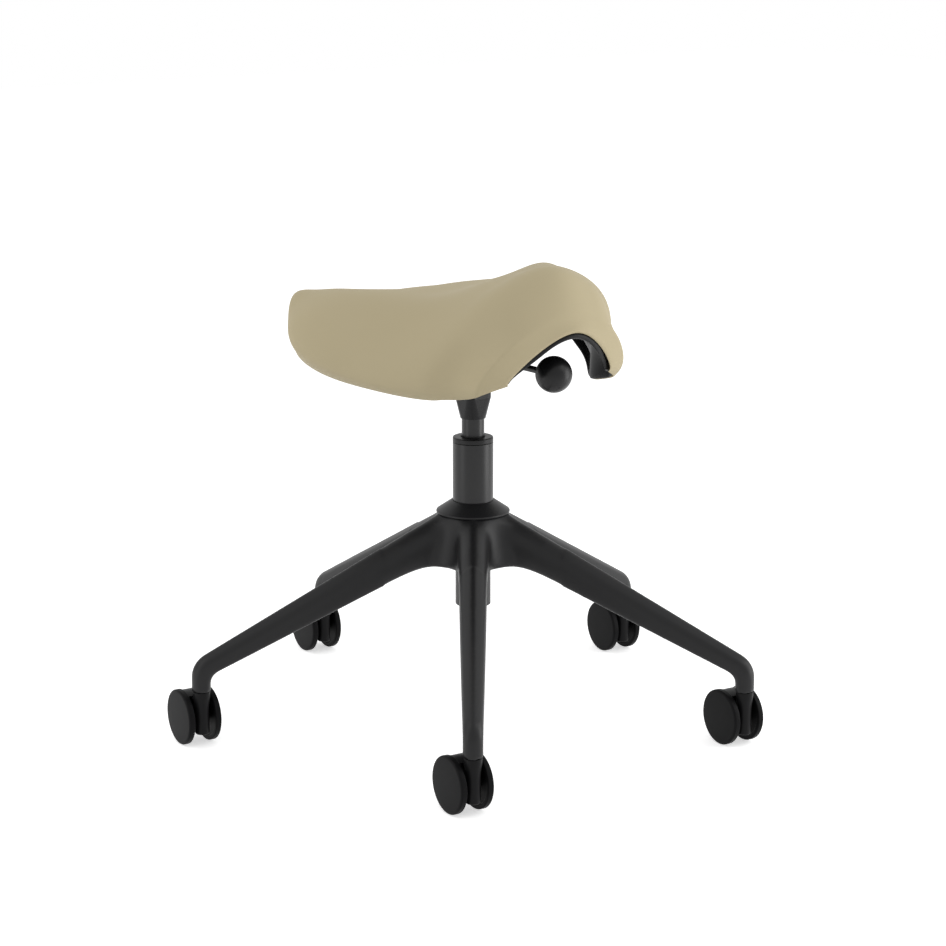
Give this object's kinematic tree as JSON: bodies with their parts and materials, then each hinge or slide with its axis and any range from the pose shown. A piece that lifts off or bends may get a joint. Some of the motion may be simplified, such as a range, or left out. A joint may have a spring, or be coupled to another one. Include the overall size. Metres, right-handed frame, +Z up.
{
  "type": "saddle stool",
  "caption": "Height-adjustable saddle stool with an upholstered arched seat, a gas lift worked by a ball-knob lever, and a star base on swivelling twin-wheel casters.",
  "frame": {"origin": "on the floor, on the column's axis", "axes": "+Z up, the seat's nose points along -Y at rest, +X to the sitter's left when sitting facing -Y"},
  "size_m": [0.7056, 0.7008, 0.59],
  "materials": {
    "upholstery": "smooth matt vinyl, sage beige",
    "shell_plastic": "fine-textured black",
    "base_nylon": "satin black glass-filled nylon",
    "tube_paint": "satin dark grey powder coat",
    "cylinder_black": "smooth black",
    "ground_steel": "ground",
    "zinc_steel": "zinc plated",
    "bushing_plastic": "black acetal",
    "bumper_rubber": "plain",
    "housing_black": "satin black",
    "plate_paint": "satin black",
    "lever_paint": "satin black",
    "knob_plastic": "satin black",
    "caster_plastic": "satin black",
    "wheel_nylon": "satin black"
  },
  "bodies": {
    "base": {"five_star_base": "base_nylon", "column_tube": "tube_paint", "tube_cap_ring": "base_nylon", "guide_bushing": "bushing_plastic", "hub_collar": "base_nylon", "foot_washer": "zinc_steel", "lower_race": "ground_steel", "thrust_balls": "ground_steel", "ball_cage": "bushing_plastic", "stem_grip_rings": "zinc_steel", "caster_1_stem": "ground_steel", "caster_2_stem": "ground_steel", "caster_3_stem": "ground_steel", "caster_4_stem": "ground_steel", "caster_5_stem": "ground_steel"},
    "rod": {"piston_rod": "ground_steel", "piston": "bushing_plastic", "upper_race": "ground_steel", "rubber_bumper": "bumper_rubber", "rod_clip": "zinc_steel"},
    "seat": {"gas_cylinder": "cylinder_black", "cylinder_end_guide": "bushing_plastic", "mechanism_housing": "housing_black", "lever_pivot_pin": "ground_steel", "seat_plate": "plate_paint", "plate_bolts": "zinc_steel", "seat_shell": "shell_plastic", "shell_screws": "zinc_steel", "cushion": "upholstery"},
    "lever": {"height_lever": "lever_paint", "ball_knob": "knob_plastic"},
    "valve": {"valve_pin": "ground_steel"},
    "caster_1": {"caster_1_housing": "caster_plastic", "caster_1_axle": "ground_steel"},
    "wheel_1_left": {"caster_1_wheel_left": "wheel_nylon"},
    "wheel_1_right": {"caster_1_wheel_right": "wheel_nylon"},
    "caster_2": {"caster_2_housing": "caster_plastic", "caster_2_axle": "ground_steel"},
    "wheel_2_left": {"caster_2_wheel_left": "wheel_nylon"},
    "wheel_2_right": {"caster_2_wheel_right": "wheel_nylon"},
    "caster_3": {"caster_3_housing": "caster_plastic", "caster_3_axle": "ground_steel"},
    "wheel_3_left": {"caster_3_wheel_left": "wheel_nylon"},
    "wheel_3_right": {"caster_3_wheel_right": "wheel_nylon"},
    "caster_4": {"caster_4_housing": "caster_plastic", "caster_4_axle": "ground_steel"},
    "wheel_4_left": {"caster_4_wheel_left": "wheel_nylon"},
    "wheel_4_right": {"caster_4_wheel_right": "wheel_nylon"},
    "caster_5": {"caster_5_housing": "caster_plastic", "caster_5_axle": "ground_steel"},
    "wheel_5_left": {"caster_5_wheel_left": "wheel_nylon"},
    "wheel_5_right": {"caster_5_wheel_right": "wheel_nylon"}
  },
  "joints": [
    {"name": "seat_swivel", "type": "hinge", "parent": "base", "child": "rod", "pos_m": [0, 0, 0.157], "axis": [0, 0, 1], "continuous": true},
    {"name": "seat_lift", "type": "slide", "parent": "rod", "child": "seat", "axis": [0, 0, 1], "range_m": [0, 0.125]},
    {"name": "lever_pull", "type": "hinge", "parent": "seat", "child": "lever", "pos_m": [0, -0.03, 0.464], "axis": [-1, 0, 0], "range_deg": [0, 6], "stiffness_Nm_per_rad": 0.6},
    {"name": "valve_press", "type": "slide", "parent": "seat", "child": "valve", "axis": [0, 0, -1], "range_m": [0, 0.0032]},
    {"name": "caster_1_swivel", "type": "hinge", "parent": "base", "child": "caster_1", "pos_m": [-0.20823, -0.27633, 0.06], "axis": [0, 0, 1], "continuous": true},
    {"name": "wheel_1_left_spin", "type": "hinge", "parent": "caster_1", "child": "wheel_1_left", "pos_m": [-0.20593, -0.25445, 0.034], "axis": [-0.9945, 0.1045, 0], "continuous": true},
    {"name": "wheel_1_right_spin", "type": "hinge", "parent": "caster_1", "child": "wheel_1_right", "pos_m": [-0.20593, -0.25445, 0.034], "axis": [-0.9945, 0.1045, 0], "continuous": true},
    {"name": "caster_2_swivel", "type": "hinge", "parent": "base", "child": "caster_2", "pos_m": [0.19846, -0.28343, 0.06], "axis": [0, 0, 1], "continuous": true},
    {"name": "wheel_2_left_spin", "type": "hinge", "parent": "caster_2", "child": "wheel_2_left", "pos_m": [0.20076, -0.26155, 0.034], "axis": [-0.9945, 0.1045, 0], "continuous": true},
    {"name": "wheel_2_right_spin", "type": "hinge", "parent": "caster_2", "child": "wheel_2_right", "pos_m": [0.20076, -0.26155, 0.034], "axis": [-0.9945, 0.1045, 0], "continuous": true},
    {"name": "caster_3_swivel", "type": "hinge", "parent": "base", "child": "caster_3", "pos_m": [0.33088, 0.10116, 0.06], "axis": [0, 0, 1], "continuous": true},
    {"name": "wheel_3_left_spin", "type": "hinge", "parent": "caster_3", "child": "wheel_3_left", "pos_m": [0.33318, 0.12304, 0.034], "axis": [-0.9945, 0.1045, 0], "continuous": true},
    {"name": "wheel_3_right_spin", "type": "hinge", "parent": "caster_3", "child": "wheel_3_right", "pos_m": [0.33318, 0.12304, 0.034], "axis": [-0.9945, 0.1045, 0], "continuous": true},
    {"name": "caster_4_swivel", "type": "hinge", "parent": "base", "child": "caster_4", "pos_m": [0.00604, 0.34595, 0.06], "axis": [0, 0, 1], "continuous": true},
    {"name": "wheel_4_left_spin", "type": "hinge", "parent": "caster_4", "child": "wheel_4_left", "pos_m": [0.00834, 0.36783, 0.034], "axis": [-0.9945, 0.1045, 0], "continuous": true},
    {"name": "wheel_4_right_spin", "type": "hinge", "parent": "caster_4", "child": "wheel_4_right", "pos_m": [0.00834, 0.36783, 0.034], "axis": [-0.9945, 0.1045, 0], "continuous": true},
    {"name": "caster_5_swivel", "type": "hinge", "parent": "base", "child": "caster_5", "pos_m": [-0.32715, 0.11265, 0.06], "axis": [0, 0, 1], "continuous": true},
    {"name": "wheel_5_left_spin", "type": "hinge", "parent": "caster_5", "child": "wheel_5_left", "pos_m": [-0.32485, 0.13453, 0.034], "axis": [-0.9945, 0.1045, 0], "continuous": true},
    {"name": "wheel_5_right_spin", "type": "hinge", "parent": "caster_5", "child": "wheel_5_right", "pos_m": [-0.32485, 0.13453, 0.034], "axis": [-0.9945, 0.1045, 0], "continuous": true}
  ],
  "couplings": [
    {"joint": "valve_press", "follows": "lever_pull", "m_per_rad": 0.03}
  ]
}
